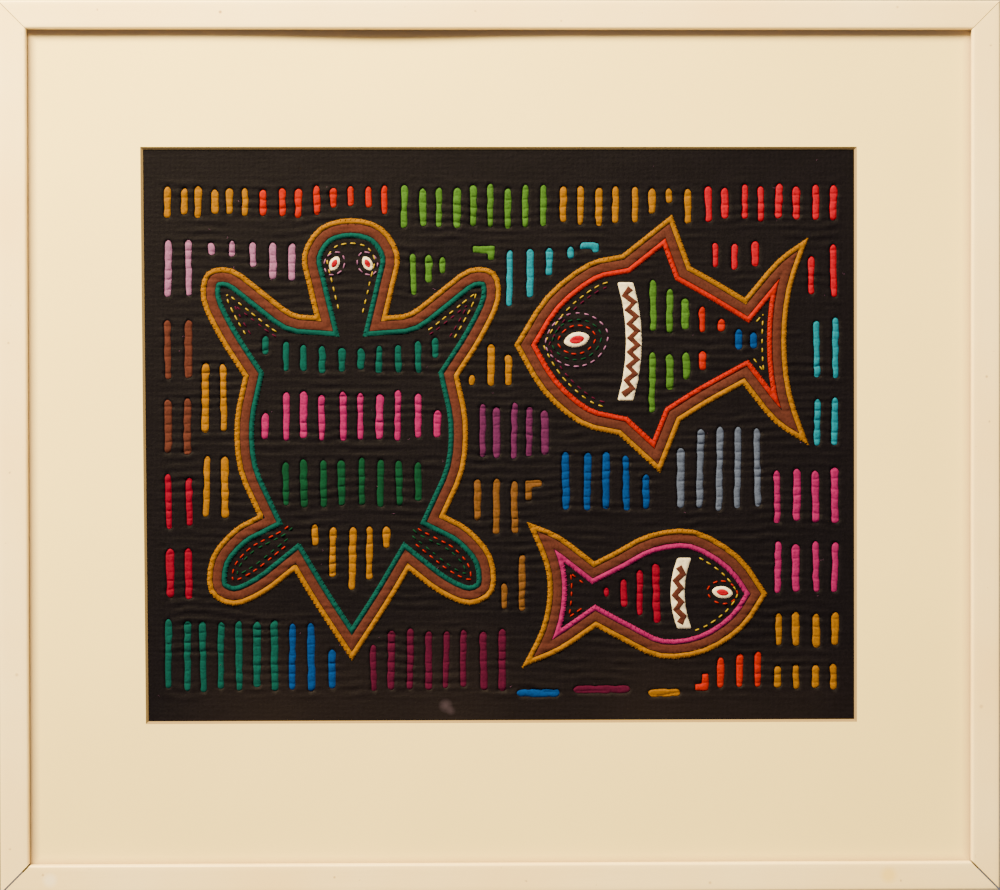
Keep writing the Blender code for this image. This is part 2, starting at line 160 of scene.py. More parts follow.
# %% Materials, tints and relief
def new_material(name, roughness):
    """A material with its tree and its Principled shader."""
    material = bpy.data.materials.new(name)
    material.use_nodes = True
    shader = material.node_tree.nodes["Principled BSDF"]
    shader.inputs["Roughness"].default_value = roughness
    return material, material.node_tree, shader


def tinted(tree, colour, tint, value, begins, full, least=0.0, most=1.0):
    """Lays a tint over a colour, in a share from least to most as the value goes from begins to full."""
    share = node(tree, "ShaderNodeMapRange",
                 {"Value": value, "From Min": begins, "From Max": full, "To Min": least, "To Max": most})
    mix = node(tree, "ShaderNodeMix", data_type="RGBA",
               inputs={"Factor": share.outputs["Result"], FIRST: colour, SECOND: tint})
    return mix.outputs[MIXED]


def mottled(tree, where, colour, layers):
    """Lays soft uneven tints over a colour. A layer gives the size of its lumps in metres, their detail,
    the values of the pattern where the tint begins and is full, and the tint."""
    for lump, detail, begins, full, tint in layers:
        pattern = node(tree, "ShaderNodeTexNoise", {"Vector": where, "Scale": 1 / lump, "Detail": detail})
        colour = tinted(tree, colour, tint, pattern.outputs["Fac"], begins, full)
    return colour


def marked(tree, where, colour, marks, core):
    """Lays round marks over a colour. A mark gives its middle and radius in metres, its tint and its
    strength, which it has over that core of its radius."""
    for spot, radius, tint, strength in marks:
        away = node(tree, "ShaderNodeVectorMath", {0: where, 1: spot}, operation="DISTANCE").outputs["Value"]
        colour = tinted(tree, colour, linear(tint), away, core * radius, radius, strength, 0.0)
    return colour


def surface(tree, shader, colour, height, strength, distance):
    """Gives the shader its colour and a fine relief of that distance in metres."""
    relief = node(tree, "ShaderNodeBump", {"Height": height, "Strength": strength, "Distance": distance})
    tree.links.new(colour, shader.inputs["Base Color"])
    tree.links.new(relief.outputs["Normal"], shader.inputs["Normal"])


print("materials so far:", len(bpy.data.materials))

# %% [markdown]
# ## Meshes from points
# Every piece is made from points worked out in millimetres, as a maker would measure it, and
# then turned to metres. Each one rides on the frame's one body.
# %% Piece helper
def add_piece(name, points, faces, materials, slots=None, turn=0, place=(0, 0, 0)):
    """A mesh from points in mm, turned about the Y axis and moved, riding on the body."""
    mesh = bpy.data.meshes.new(name)
    faces = faces.tolist() if isinstance(faces, np.ndarray) else faces
    mesh.from_pydata((points * MM).tolist(), [], faces)
    for material in materials:
        mesh.materials.append(material)
    if slots is not None:
        mesh.polygons.foreach_set("material_index", slots)
    mesh.polygons.foreach_set("use_smooth", [True] * len(mesh.polygons))
    mesh.update()
    piece = in_scene(name, mesh)
    piece.location = [value * MM for value in place]
    piece.rotation_euler = (0, math.radians(turn), 0)
    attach(piece, "root")
    return piece


print("pieces start with", len(frame["nodes"]), "solids to dress")


# %% [markdown]
# ## Painted wood
# The rails are a plain softwood moulding under several coats of cream oil paint. Brushed paint
# keeps fine ridges along the stroke, yellows in patches and gathers small marks: dots of dirt,
# a rusty speck, a yellow stain at the lower right. Its gloss has worn to a satin.
# Behind the front the lip's inner faces are tinted darker: painted shade, with some grime, most on the top
# rail.
# %% Paint material
PAINT = linear("#FCE8B6")
PAINT_YELLOWED = linear("#F9DDA0")
PAINT_SOILED = linear("#C9B08A")
SHADE_AND_GRIME = linear("#6A5A50")
SHADE_AND_GRIME_FROM = -0.0172  # m; from here back the lip's inner faces are darker: painted shade, with some grime
SHADE_AND_GRIME_TO = -0.0148
BRUSH_RIDGE = 0.0011  # m between ridges; the real 0.3 mm would vanish at this picture size
BRUSH_HEIGHT = 0.00012


def painted_wood(name, marks, shade_and_grime):
    """Oil paint brushed on wood, satin: broad soft highlights along the edges, and faint lines of the
    brush. A mark gives its place along and across the rail and its radius in mm, its tint and strength."""
    material, tree, shader = new_material(name, 0.34)
    shader.inputs["IOR"].default_value = 1.5
    where = node(tree, "ShaderNodeTexCoord").outputs["Object"]
    colour = mottled(tree, where, PAINT, [
        (0.09, 4.0, 0.35, 0.75, PAINT_YELLOWED),
        (0.004, 1.0, 0.77, 0.83, PAINT_SOILED),
    ])
    flat = node(tree, "ShaderNodeVectorMath", {0: where, 1: (1, 0, 1)}, operation="MULTIPLY").outputs[0]
    spots = [((u * MM, 0, -v * MM), radius * MM, tint, strength) for u, v, radius, tint, strength in marks]
    colour = marked(tree, flat, colour, spots, core=0.4)
    behind = node(tree, "ShaderNodeSeparateXYZ", {"Vector": where}).outputs["Y"]
    # painted shade, with some grime, on the lip's inner faces behind the front
    colour = tinted(tree, colour, SHADE_AND_GRIME, behind, SHADE_AND_GRIME_FROM, SHADE_AND_GRIME_TO, most=shade_and_grime)
    drawn_out = node(tree, "ShaderNodeMapping", {"Vector": where, "Scale": (0.04, 1, 1)}).outputs["Vector"]
    ridges = node(tree, "ShaderNodeTexNoise", {"Vector": drawn_out, "Scale": 1 / BRUSH_RIDGE, "Detail": 3.0})
    surface(tree, shader, colour, ridges.outputs["Fac"], 0.35, BRUSH_HEIGHT)
    return material


print("brush ridges per cm:", round(10 * MM / BRUSH_RIDGE))

# %% [markdown]
# ## The rails
# Each rail is the moulding's section drawn out along its length, its two ends cut at 45 degrees.
# The solids have a coarse eased edge and a straight run. Here the edge is rounder, and the run
# wavers by about a twentieth of a millimetre, which is what makes a real painted edge catch the
# light unevenly. At the foot the mitres have opened into dark lines.
# The mitres' end faces are set near black, as painted shade in the gaps.
# %% Moulding section
RAIL_FACE = 16.4
REBATE = 6.0
LIP_DEPTH = 5.0
EASED = 1.5
BACK_CHAMFER = 0.8


def quarter_round(u, y, towards_u):
    """An eased corner of the section: points from its front to its side."""
    angles = np.radians(np.linspace(0, 90, 6))
    return [(u + towards_u * EASED * (1 - math.sin(a)), y + EASED * (1 - math.cos(a))) for a in angles]


depth = -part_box("rail_top")[0].y / MM
section = [(0.0, 0.0), *quarter_round(0, -depth, 1)[::-1]]
section += [(u, -depth) for u in np.linspace(EASED, RAIL_FACE - EASED, 7)[1:-1]]
section += quarter_round(RAIL_FACE, -depth, -1)
section += [(RAIL_FACE, -depth + LIP_DEPTH - BACK_CHAMFER), (RAIL_FACE - BACK_CHAMFER, -depth + LIP_DEPTH)]
section += [(RAIL_FACE - REBATE, -depth + LIP_DEPTH), (RAIL_FACE - REBATE, 0.0)]
section = np.array(section)
print("section points:", len(section))

# %% Rails
low, high = (np.array(corner) / MM for corner in cad_box)
frame_middle = (low + high) / 2
RAILS = [
    # node, turn about Y, place of the outer edge's middle, length, half gaps at the two mitres, painted lip
    # shade and grime, marks
    ("rail_top", 0, (0, 0, high[2]), high[0] - low[0], (0.15, 0.15), 0.6,
     [(-160, 7, 1.2, "#8A5A34", 0.7), (35, 12, 0.8, "#A88660", 0.6), (228, 4, 1.0, "#B89A70", 0.5)]),
    ("rail_bottom", 180, (0, 0, low[2]), high[0] - low[0], (0.5, 0.5), 0.1,
     [(-223, 9, 6.0, "#F6D878", 0.8), (-120, 5, 1.1, "#A58459", 0.5), (96, 9, 0.9, "#96764E", 0.6),
      (259, 8, 5.0, "#FFFFFF", 0.4), (263, 11, 1.0, "#96764E", 0.5)]),
    ("rail_left", -90, (low[0], 0, frame_middle[2]), high[2] - low[2], (0.5, 0.15), 0.12,
     [(60, 6, 0.9, "#A98A62", 0.6), (-130, 10, 1.3, "#B39569", 0.5)]),
    ("rail_right", 90, (high[0], 0, frame_middle[2]), high[2] - low[2], (0.15, 0.5), 0.2,
     [(-40, 8, 1.0, "#9C7C55", 0.6), (150, 11, 1.5, "#B89A6C", 0.45)]),
]
STATIONS = 73
WAVER = 0.012  # mm from one station to the next
end_grain, _, shader = new_material("shaded_end_grain", 0.95)  # raw wood ends, set near black as painted shade inside the open mitres
shader.inputs["Base Color"].default_value = linear("#1A120B")
for name, turn, place, length, half_gaps, shade_and_grime, marks in RAILS:
    rng = np.random.default_rng(len(name) + int(abs(turn)))
    waver = np.cumsum(rng.normal(0, WAVER, STATIONS))
    waver -= np.linspace(waver[0], waver[-1], STATIONS)
    rings = []
    for share, slip in zip(np.linspace(-1, 1, STATIONS), waver):
        reach = length / 2 - section[:, 0] - half_gaps[int(share > 0)] * math.sqrt(2)
        front = section[:, 1] < -1
        across = -section[:, 0] + np.where(section[:, 0] > RAIL_FACE / 2, slip, 0)
        rings.append(np.stack([share * reach, section[:, 1] + front * slip * 0.6, across], axis=1))
    count = len(section)
    faces = []
    for i in range(STATIONS - 1):
        for k in range(count):
            a, b = i * count + k, i * count + (k + 1) % count
            faces.append((a, b, b + count, a + count))
    slots = [0] * len(faces) + [1, 1]
    faces += [tuple(range(count))[::-1], tuple(range((STATIONS - 1) * count, STATIONS * count))]
    rail = add_piece(f"painted_{name}", np.concatenate(rings), faces,
                     [painted_wood(f"painted_wood_{name}", marks, shade_and_grime), end_grain],
                     slots=slots, turn=turn, place=place)
    rail.data.set_sharp_from_angle(angle=math.radians(40))
    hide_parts(name)
print("rails:", len(RAILS))

# %% [markdown]
# ## The mat
# A mat is paper board with a window cut at 45 degrees, so its core shows as a thin edge, once
# white and now yellowed. Paper moves with the damp: this one has bowed back at its top, left of
# the middle, where the lip's shadow is widest. It is a grid of points over the board with the
# window left out, and the back follows the face, so that the bow is in the heights of both.
# Beside the rails the board is tinted darker as painted shade, thickest under the top and left rails.
# The core's colour is set darker than its yellowing alone, as painted shade on the bevels.
# %% Flat areas from loops
def inside_loop(points, loop):
    """Which points lie inside the loop."""
    inside = np.zeros(len(points), bool)
    for start, end in zip(loop, np.roll(loop, -1, axis=0)):
        if start[1] != end[1]:
            level = (start[1] > points[:, 1]) != (end[1] > points[:, 1])
            crossing = start[0] + (points[:, 1] - start[1]) * (end[0] - start[0]) / (end[1] - start[1])
            inside ^= level & (points[:, 0] < crossing)
    return inside


def fill(outer, holes, points):
    """Triangles over the area inside the outer loop and outside the holes, through all the points."""
    loops = [outer, *holes]
    corners = np.concatenate([*loops, points])
    edges = []
    start = 0
    for loop in loops:
        edges += [(start + i, start + (i + 1) % len(loop)) for i in range(len(loop))]
        start += len(loop)
    placed, _, faces, *_ = delaunay_2d_cdt([Vector(p) for p in corners], edges, [], 0, 1e-5, False)
    placed = np.array([tuple(p) for p in placed])
    faces = np.array(faces)
    centres = placed[faces].mean(axis=1)
    kept = inside_loop(centres, outer)
    for hole in holes:
        near = np.all((centres > hole.min(axis=0)) & (centres < hole.max(axis=0)), axis=1)
        kept[near] &= ~inside_loop(centres[near], hole)
    return placed, faces[kept]


def along(loop, step):
    """The loop with points added so that none is further than step from the next."""
    runs = []
    for start, end in zip(loop, np.roll(loop, -1, axis=0)):
        count = max(1, math.ceil(np.hypot(*(end - start)) / step))
        runs.append(start + (end - start) * np.linspace(0, 1, count, endpoint=False)[:, None])
    return np.concatenate(runs)


def rectangle(left, right, foot, top):
    return np.array([(left, foot), (right, foot), (right, top), (left, top)], float)


def honeycomb(left, right, foot, top, step):
    """Points in staggered rows."""
    rows = np.arange(foot + step / 2, top, step * 0.866)
    columns = np.arange(left + step / 2, right, step)
    x, z = np.meshgrid(columns, rows)
    x[1::2] += step / 2
    return np.stack([x.ravel(), z.ravel()], axis=1)


def cells_over(loop, step, margin=0):
    """Points in staggered rows over the box round a loop."""
    (left, foot), (right, top) = loop.min(axis=0) - margin, loop.max(axis=0) + margin
    return honeycomb(left, right, foot, top, step)


square = rectangle(0, 10, 0, 10)
print("triangles in a 10 mm square:", len(fill(square, [], cells_over(square, 2))[1]))


# %% Mat board material
SIGHT_X = (0.0004, 0.2711)  # m, middle and half width of the opening inside the rails, which is set a little low and right, so that the painted shade lies thicker at the top and left
SIGHT_Z = (-0.2525, 0.2396)  # set a little low and right, so that dust lies thicker at the top and left
PAINTED_SHADE_WIDTH = 0.0055  # painted shade darkens the board beside the rails
PAINTED_SHADE = linear("#90787C")
BOARD_FACE = "#F6E29A"
BOARD_CORE = "#8A7655"  # once white, yellowed by its own acid, and set darker still as painted shade on the bevels
PULP = 0.0016  # m; the real fibres, 0.05 mm wide, would be too fine to see
PULP_HEIGHT = 0.0001


def paper_board(name, colour):
    """Uncoated pressed paper: quite matt, with the soft mottling of the pulp."""
    material, tree, shader = new_material(name, 0.92)
    shader.inputs["Specular IOR Level"].default_value = 0.25
    where = node(tree, "ShaderNodeTexCoord").outputs["Object"]
    aged = mottled(tree, where, linear(colour), [(0.12, 3.0, 0.3, 0.8, linear(colour, 0.95))])
    axes = node(tree, "ShaderNodeSeparateXYZ", {"Vector": where})
    beyond = []
    for axis, (centre, half) in (("X", SIGHT_X), ("Z", SIGHT_Z)):
        shifted = node(tree, "ShaderNodeMath", {0: axes.outputs[axis], 1: centre}, operation="SUBTRACT")
        size = node(tree, "ShaderNodeMath", {0: shifted.outputs[0]}, operation="ABSOLUTE")
        past = node(tree, "ShaderNodeMath", {0: size.outputs[0], 1: half}, operation="SUBTRACT")
        beyond.append(past.outputs[0])
    nearer = node(tree, "ShaderNodeMath", {0: beyond[0], 1: beyond[1]}, operation="MAXIMUM").outputs[0]
    # painted shade on the board beside the rails
    shaded_near_rails = tinted(tree, aged, PAINTED_SHADE, nearer, -PAINTED_SHADE_WIDTH, 0.0, most=0.7)
    pulp = node(tree, "ShaderNodeTexNoise", {"Vector": where, "Scale": 1 / PULP, "Detail": 3.0})
    surface(tree, shader, shaded_near_rails, pulp.outputs["Fac"], 0.25, PULP_HEIGHT)
    return material


# how far the painted shade beside the rails reaches
print("dust reaches", round(PAINTED_SHADE_WIDTH / MM, 1), "mm from the rails")

# %% Mat
mat_low, mat_high = (np.array(corner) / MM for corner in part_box("mat_board"))
cloth_low, cloth_high = (np.array(corner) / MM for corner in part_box("mola_cloth"))
middle = (cloth_low[2] + cloth_high[2]) / 2
print("the cloth's middle is", round(-middle, 1), "mm below the hanging point")


def front_loops(name):
    """The edge loops of a node's front face, in mm from the middle of the cloth, the longest first."""
    mesh = frame["nodes"][name].data
    spots = {}
    spot_of = []
    for vertex in mesh.vertices:
        key = (round(vertex.co.x / MM, 2), round(vertex.co.z / MM - middle, 2))
        spot_of.append(spots.setdefault(key, len(spots)))
    front = min(vertex.co.y for vertex in mesh.vertices)
    edges = set()
    for face in mesh.polygons:
        if all(mesh.vertices[i].co.y < front + 1e-5 for i in face.vertices):
            ids = [spot_of[i] for i in face.vertices]
            edges.update(zip(ids, ids[1:] + ids[:1]))
    following = {a: b for a, b in edges if (b, a) not in edges}
    places = np.array(list(spots))
    loops = []
    while following:
        start, step = following.popitem()
        loop = [start]
        while step != start:
            loop.append(step)
            step = following.pop(step)
        loops.append(places[loop])
    return sorted(loops, key=lambda loop: -np.ptp(loop, axis=0).sum())


# %% The face of the mat
BOW = 2.5
BOW_X = -64
BOW_WIDTH = 62
MAT_STEP = 9


def board_bow(x, z):
    """How far the board stands back from its own plane, in mm."""
    from_top = mat_high[2] - middle - z
    return BOW * np.exp(-(((x - BOW_X) / BOW_WIDTH) ** 2)) * np.clip(1 - from_top / BOW_WIDTH, 0, 1) ** 1.6


bevel_edge = front_loops("mat_board")[1]
thickness = mat_high[1] - mat_low[1]
mat_foot, mat_top = mat_low[2] - middle, mat_high[2] - middle
outer = along(rectangle(mat_low[0], mat_high[0], mat_foot, mat_top), MAT_STEP)
opened = along(bevel_edge, MAT_STEP)
grid = honeycomb(mat_low[0] + 2, mat_high[0] - 2, mat_foot + 2, mat_top - 2, MAT_STEP)
clear = np.any(np.abs(grid) > np.abs(bevel_edge).max(axis=0) + 2, axis=1)
spread, faces = fill(outer, [opened], grid[clear])
print("the mat is", round(thickness, 2), "mm thick, and its face has", len(faces), "triangles")

# %% The bevel and the back of the mat
face_points = np.stack([spread[:, 0], mat_low[1] + board_bow(*spread.T), spread[:, 1] + middle], axis=1)
back_points = face_points + (0, thickness, 0)
at_window = np.all(np.abs(spread) < np.abs(bevel_edge).max(axis=0) + 0.5, axis=1)
half_width, half_height = np.abs(bevel_edge).max(axis=0) - 4
inset = np.sign(spread) * thickness * (np.abs(spread) > (half_width, half_height))
back_points[at_window, 0] -= inset[at_window, 0]
back_points[at_window, 2] -= inset[at_window, 1]
sides = {(a, b) for face in faces.tolist() for a, b in zip(face, face[1:] + face[:1])}
rim = sorted((a, b) for a, b in sides if (b, a) not in sides)
count = len(spread)
mat_faces = [*faces.tolist(), *(faces[:, ::-1] + count).tolist()]
mat_faces += [(b, a, a + count, b + count) for a, b in rim]
mat = add_piece("paper_mat", np.concatenate([face_points, back_points]), mat_faces,
                [paper_board("cream_mat_board", BOARD_FACE), paper_board("yellowed_and_shaded_board_core", BOARD_CORE)],
                slots=[0] * (2 * len(faces)) + [int(at_window[a]) for a, b in rim])
mat.data.set_sharp_from_angle(angle=math.radians(30))
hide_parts("mat_board")
print("mat triangles:", 2 * len(faces) + 2 * len(rim))

# %% [markdown]
# ## The backing board
# Behind the cloth is a plain pressed board, as framers use. It shows only from the back, so the
# solid stays and only gets its surface: brown wood fibre pressed smooth, with faint mottling.
# %% Hardboard
FIBRE = 0.0012  # m; pressed fibres, drawn three times as coarse as they are
FIBRE_HEIGHT = 0.0001


def hardboard():
    """Wood fibre pressed hot: brown, smooth and dull, with faint mottling and darker fibres."""
    material, tree, shader = new_material("pressed_hardboard", 0.7)
    where = node(tree, "ShaderNodeTexCoord").outputs["Object"]
    colour = mottled(tree, where, linear("#84664A"), [
        (0.05, 3.0, 0.3, 0.75, linear("#6F5438")),
        (FIBRE, 4.0, 0.58, 0.75, linear("#5E4026")),
    ])
    fibres = node(tree, "ShaderNodeTexNoise", {"Vector": where, "Scale": 1 / FIBRE, "Detail": 4.0})
    surface(tree, shader, colour, fibres.outputs["Fac"], 0.3, FIBRE_HEIGHT)
    return material


board = frame["nodes"]["backing_board"]
board.data.materials.clear()
board.data.materials.append(hardboard())
print("backing board:", [round(v, 3) for v in board.dimensions])

# %% [markdown]
# ## Cotton
# Every layer is plain-woven cotton poplin with about 28 threads to the centimetre. Cotton is
# dull, a little fuzzy at its edges, and its dye has faded unevenly. The weave is too fine to
# show at this picture size, so it is drawn at twice its pitch and low.
# %% Cotton material
THREAD_PITCH = 0.00036
DRAWN_PITCH = 2 * THREAD_PITCH
WAVE_PERIOD = math.pi / 10  # a wave texture of scale 1 repeats at this distance
FADE = 0.011  # m, patches where the dye has worn
SLUB = 0.0013  # m, thick places in the yarn
CRUMPLE = 0.0024  # m, small wrinkles that lie along the puckers
CLOTH_RELIEF = 0.00022
MARK_DEPTH = -0.012  # m; the marks' middles lie in the cloth's plane


def cotton(name, colour, roughness=0.88, gloss=0.05, crumple=1.4, marks=()):
    """Plain-woven dyed cotton: matt, with fine threads, worn dye, slubs and small wrinkles. A mark gives
    its place and radius in mm, its tint and strength."""
    material, tree, shader = new_material(name, roughness)
    shader.inputs["Specular IOR Level"].default_value = gloss
    where = node(tree, "ShaderNodeTexCoord").outputs["Object"]
    tone = mottled(tree, where, linear(colour), [
        (FADE, 4.0, 0.35, 0.7, linear(colour, 0.82)),
        (SLUB, 2.0, 0.45, 0.75, linear(colour, 0.62)),
    ])
    spots = [((x * MM, MARK_DEPTH, (z + middle) * MM), radius * MM, tint, strength)
             for x, z, radius, tint, strength in marks]
    tone = marked(tree, where, tone, spots, core=0.0)
    threads = {"Vector": where, "Scale": WAVE_PERIOD / DRAWN_PITCH, "Distortion": 0.6}
    warp, weft = (
        node(tree, "ShaderNodeTexWave", threads, bands_direction=axis).outputs["Fac"] for axis in "XZ"
    )
    weave = node(tree, "ShaderNodeMath", {0: warp, 1: weft}, operation="MULTIPLY").outputs[0]
    slubs = node(tree, "ShaderNodeTexNoise", {"Vector": where, "Scale": 1 / SLUB, "Detail": 2.0})
    yarn = node(tree, "ShaderNodeMath", {0: weave, 1: slubs.outputs["Fac"]}, operation="ADD").outputs[0]
    drawn_out = node(tree, "ShaderNodeMapping", {"Vector": where, "Scale": (0.35, 1, 1)}).outputs["Vector"]
    wrinkles = node(tree, "ShaderNodeTexNoise", {"Vector": drawn_out, "Scale": 1 / CRUMPLE, "Detail": 3.0})
    height = node(tree, "ShaderNodeMath", {0: wrinkles.outputs["Fac"], 1: crumple, 2: yarn},
                  operation="MULTIPLY_ADD").outputs[0]
    surface(tree, shader, tone, height, 0.5, CLOTH_RELIEF)
    return material


print("threads per cm:", round(0.01 / THREAD_PITCH), "drawn as", round(0.01 / DRAWN_PITCH))

# %% The dyes
DYES = {
    # set darker than they look, because the lamp is strong and warm
    "black": "#0C0A12",
    "white": "#D2CBC0",
    "gold": "#744E00",
    "brown": "#42221F",
    "teal": "#033B3E",
    "green": "#053224",
    "lime": "#325721",
    "orange": "#851200",
    "red": "#86001B",
    "crimson": "#670021",
    "pink": "#771355",
    "lilac": "#754D7E",
    "purple": "#451846",
    "wine": "#3C0829",
    "blue": "#002E72",
    "cyan": "#0A6386",
    "grey": "#404B6C",
    "ochre": "#55381D",
    "yellow": "#8C7A1C",
}
SMUDGES = [
    # x, z, radius (mm), tint, strength: a pale smear, and along the foot a faint paler haze, dust and painted
    # sheen
    (-32, -156, 4.5, "#4A4054", 0.45),
    (-29, -159, 3, "#4A4054", 0.3),
    (-130, -172, 75, "#5A4C48", 0.05),
    (-30, -174, 80, "#5A4C48", 0.05),
    (85, -174, 75, "#5A4C48", 0.05),
    (170, -170, 60, "#5A4C48", 0.035),
]
dyed = {name: cotton(f"{name}_cotton", colour) for name, colour in DYES.items() if name != "black"}
dyed["black"] = cotton("black_cotton", DYES["black"], roughness=0.52, gloss=0.036, crumple=1.6, marks=SMUDGES)
slot_of_node = {row["node"]: row["material_slot"] for row in frame["record"]["subparts"]}
print("dyes:", len(dyed))

# %% [markdown]
# ## The lie of the cloth
# Three layers sewn together by hand never lie flat. Each row of stitches draws the panel in, so
# it puckers in low ridges that run across it, about 5 mm apart, and lies smoother along its
# plain edges. One height function gives that to every piece, so strips and slots follow the
# ground they are sewn to. Smooth random relief makes the ridges wander, as sewn ones do.
# %% Puckers
PUCKER_PITCH = 5.3
PUCKER_HEIGHT = 0.95
SEEN_X, SEEN_Z = 206, 166  # mm from the middle, just past the mat's window
SEWN_X, SEWN_TOP, SEWN_FOOT = 199, 150, 156  # the worked part
SEWN_FADE = 9


def soft_noise(x, z, size, seed):
    """Smooth random relief from -1 to 1, with lumps of about that size in mm."""
    table = np.random.default_rng(seed).uniform(-1, 1, (64, 64))
    column, row = np.floor(x / size).astype(int), np.floor(z / size).astype(int)
    s, t = x / size - column, z / size - row
    s, t = s * s * (3 - 2 * s), t * t * (3 - 2 * t)
    foot = table[column % 64, row % 64] * (1 - s) + table[(column + 1) % 64, row % 64] * s
    top = table[column % 64, (row + 1) % 64] * (1 - s) + table[(column + 1) % 64, (row + 1) % 64] * s
    return foot * (1 - t) + top * t


def pucker_phase(x, z):
    wander = 2.6 * soft_noise(x, z, 43, 1) + 1.1 * soft_noise(x, z, 13, 2) + 0.4 * soft_noise(x, z, 5, 6)
    return np.abs(np.sin(math.pi * (z + wander) / PUCKER_PITCH))


def sewn_share(x, z):
    """1 over the worked part of the panel, falling to 0 along its plain edges."""
    inside = np.minimum.reduce([SEWN_X - np.abs(x), SEWN_TOP - z, z + SEWN_FOOT])
    return np.clip(inside / SEWN_FADE, 0, 1)


def ground_height(x, z):
    """How far the cloth stands up from its plane, in mm."""
    ridge = pucker_phase(x, z) ** 0.7 - 0.6
    strength = np.clip(0.6 + 0.85 * soft_noise(x, 1.7 * z, 14, 3), 0.08, None)
    edge = np.clip((SEEN_X - np.abs(x)) / 8, 0, 1) * np.clip((SEEN_Z - np.abs(z)) / 8, 0, 1)
    broad = 0.16 * soft_noise(x, z, 38, 4) + 0.10 * soft_noise(x, z, 11, 5)
    return PUCKER_HEIGHT * strength * ridge * sewn_share(x, z) + broad * edge


print("pucker ridges down the panel:", round((SEWN_TOP + SEWN_FOOT) / PUCKER_PITCH))


# %% From the flat to the cloth
GROUND_FRONT = cloth_low[1]


def lifted(places, height):
    """Places on the panel, in mm from its middle, as points in space that stand that high above it."""
    return np.stack([places[:, 0], GROUND_FRONT - height, places[:, 1] + middle], axis=1)


print("the cloth's front lies", round(-GROUND_FRONT, 2), "mm before the frame's back")

# %% Directions and places on a line
def leftwards(steps):
    """The directions to the left of steps along a line, each of length 1."""
    unit = steps / np.hypot(*steps.T)[:, None]
    return np.stack([-unit[:, 1], unit[:, 0]], axis=1)


def neighbours_apart(loop):
    """The step from the point before to the point after, for each point of a loop."""
    return np.roll(loop, -1, axis=0) - np.roll(loop, 1, axis=0)


def run_along(line):
    """How far along the line each of its points lies."""
    return np.concatenate([[0], np.cumsum(np.hypot(*np.diff(line, axis=0).T))])


def places_at(runs, line):
    """The places that far along the line."""
    return np.stack([np.interp(runs, run_along(line), line[:, i]) for i in (0, 1)], axis=-1)


print("left of a step along X is", leftwards(np.array([[2.0, 0.0]]))[0])


# %% Distances to a loop
def measure(points, loop):
    """For each point its depth inside the loop (negative outside), how far round the loop its nearest
    edge point is, and the direction inwards there."""
    ahead = np.roll(loop, -1, axis=0) - loop
    length = np.hypot(*ahead.T)
    unit = ahead / length[:, None]
    beside = leftwards(ahead)
    begun = np.concatenate([[0], np.cumsum(length)[:-1]])
    tree = KDTree(len(loop))
    for i, (x, z) in enumerate(loop):
        tree.insert((x, z, 0), i)
    tree.balance()
    nearest = np.array([tree.find((x, z, 0))[1] for x, z in points])
    depth = np.full(len(points), np.inf)
    place = np.zeros(len(points))
    inward = np.zeros((len(points), 2))
    for side in (nearest, nearest - 1):
        gap = points - loop[side]
        run = np.clip((gap * unit[side]).sum(axis=1), 0, length[side])
        far = np.hypot(*(gap - run[:, None] * unit[side]).T)
        closer = far < depth
        depth[closer] = far[closer]
        place[closer] = (begun[side] + run)[closer]
        inward[closer] = beside[side][closer]
    depth[~inside_loop(points, loop)] *= -1
    return depth, place, inward


print("the middle of a 10 mm square is", measure(np.array([[5.0, 5.0]]), square)[0][0], "mm deep")


# %% Changes to a loop
def rounded(loop, reach):
    """The loop with each corner rounded, beginning that far before it."""
    corners = []
    for before, corner, after in zip(np.roll(loop, 1, axis=0), loop, np.roll(loop, -1, axis=0)):
        starts = []
        for other in (before, after):
            length = np.hypot(*(other - corner))
            starts.append(corner + (other - corner) * min(reach / length, 0.48))
        for t in (0, 0.35, 0.65, 1):
            corners.append((1 - t) ** 2 * starts[0] + 2 * t * (1 - t) * corner + t**2 * starts[1])
    return np.array(corners)


def grown(loop, distance):
    """The anticlockwise loop moved outwards, for small distances."""
    return loop - distance * leftwards(neighbours_apart(loop))


def blunted(loop):
    """The loop with its points pushed in: corners that have both their neighbours near."""
    before, after = np.roll(loop, 1, axis=0), np.roll(loop, -1, axis=0)
    tip = (np.hypot(*(before - loop).T) < 4) & (np.hypot(*(after - loop).T) < 4)
    return np.where(tip[:, None], 0.35 * loop + 0.325 * (before + after), loop)


def anticlockwise(loop):
    x, z = loop.T
    return loop if np.sum(x * np.roll(z, -1) - z * np.roll(x, -1)) > 0 else loop[::-1]


print("a 10 mm square with round corners has", len(rounded(square, 1)), "points")


# %% [markdown]
# ## The slots and the black ground
# The slots are cut in the black layer and their edges turned under and hemmed, so each edge is
# a small roll that dips to the colour below. The outlines come from the solids. Their corners
# are rounded and their edges made a little uneven. The ground is one sheet of triangles, finer
# near the slots, with the folds and puckers in its heights.
# %% Slot outlines
SLOT_UNEVEN = 0.38  # mm either way
SLOT_NARROWER = 0.2
cloth_loops = front_loops("mola_cloth")
ground_edge = anticlockwise(cloth_loops[0])
slot_loops = []
for number, loop in enumerate(cloth_loops[1:]):
    loop = along(rounded(blunted(anticlockwise(loop)), 1.0 + 0.25 * (number % 4)), 0.8)
    relief = soft_noise(loop[:, 0] * 1.7 + 9 * number, loop[:, 1], 4.1, 7)
    uneven = SLOT_UNEVEN * relief - SLOT_NARROWER
    slot_loops.append(grown(loop, uneven[:, None]))
print("slots:", len(slot_loops))

# %% Ground
HEM_REACH = 3.0
HEM_RINGS = (0.35, 0.8)  # mm from the edge, where rings of points carry the roll
SLOT_CLEAR = 1.15
CLEAR = 0.3  # mm that the inner points keep from an edge


